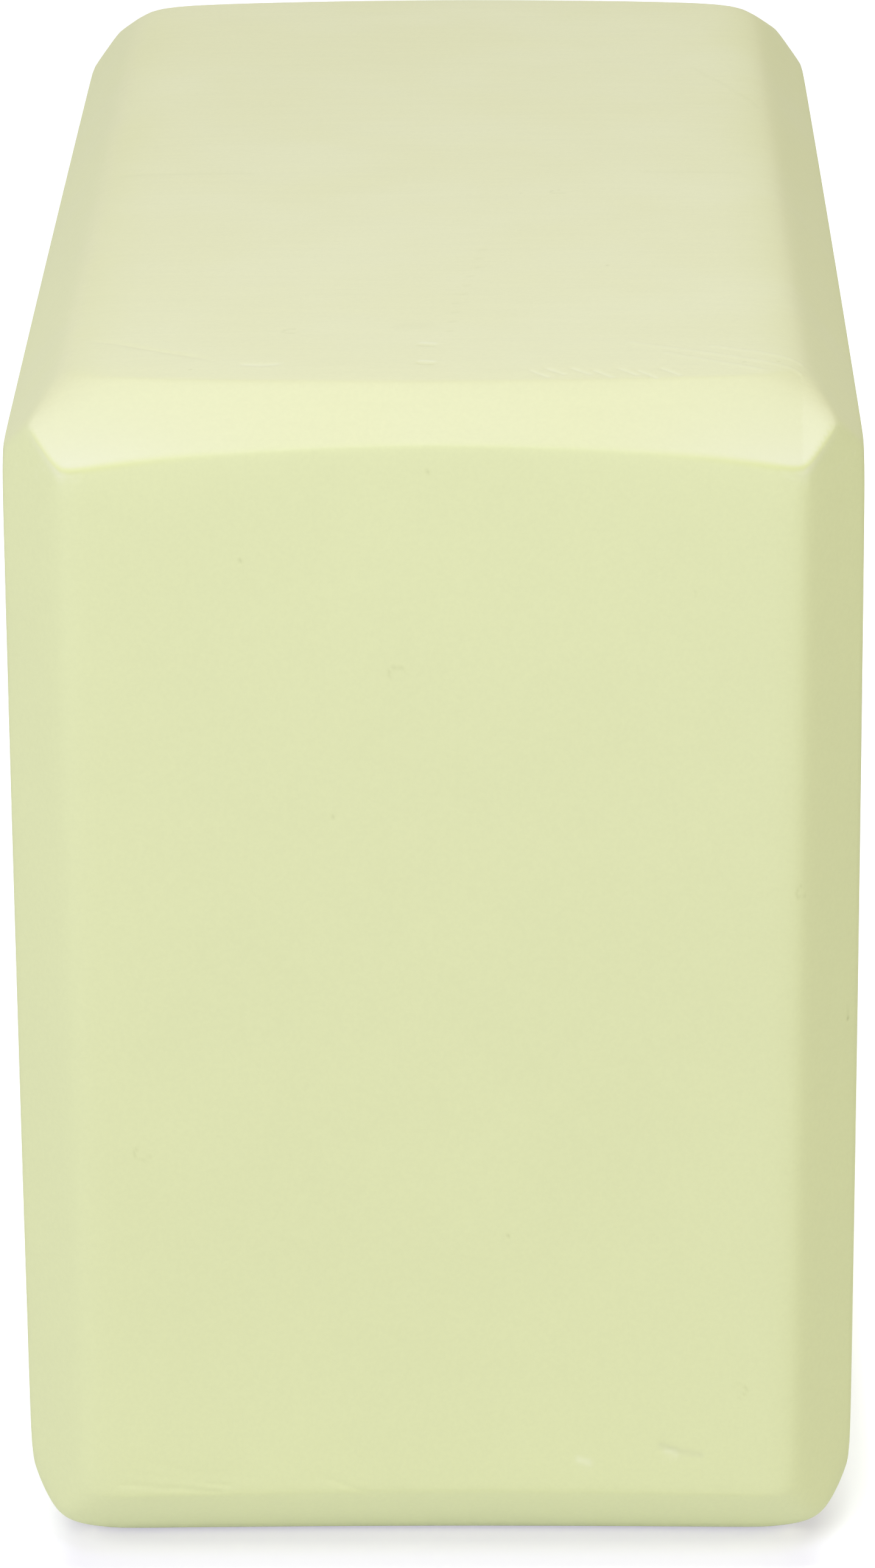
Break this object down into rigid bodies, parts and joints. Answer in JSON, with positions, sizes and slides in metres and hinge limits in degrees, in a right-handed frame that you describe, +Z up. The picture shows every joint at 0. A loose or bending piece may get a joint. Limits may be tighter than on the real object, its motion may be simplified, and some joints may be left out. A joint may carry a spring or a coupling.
{
  "type": "foam exercise block",
  "caption": "Rectangular block of closed-cell foam for yoga and stretching, with a broad bevel along every edge.",
  "frame": {"origin": "centre of the base, on the surface that the block stands on", "axes": "+Z up; +Y along the block's longest side, away from the end that faces the viewer; +X across its width, to the viewer's right"},
  "size_m": [0.102, 0.204, 0.15],
  "materials": {
    "foam": "matt closed-cell foam, pale lime, lightly skived on the faces"
  },
  "bodies": {
    "root": {"foam_block": "foam"}
  },
  "joints": []
}
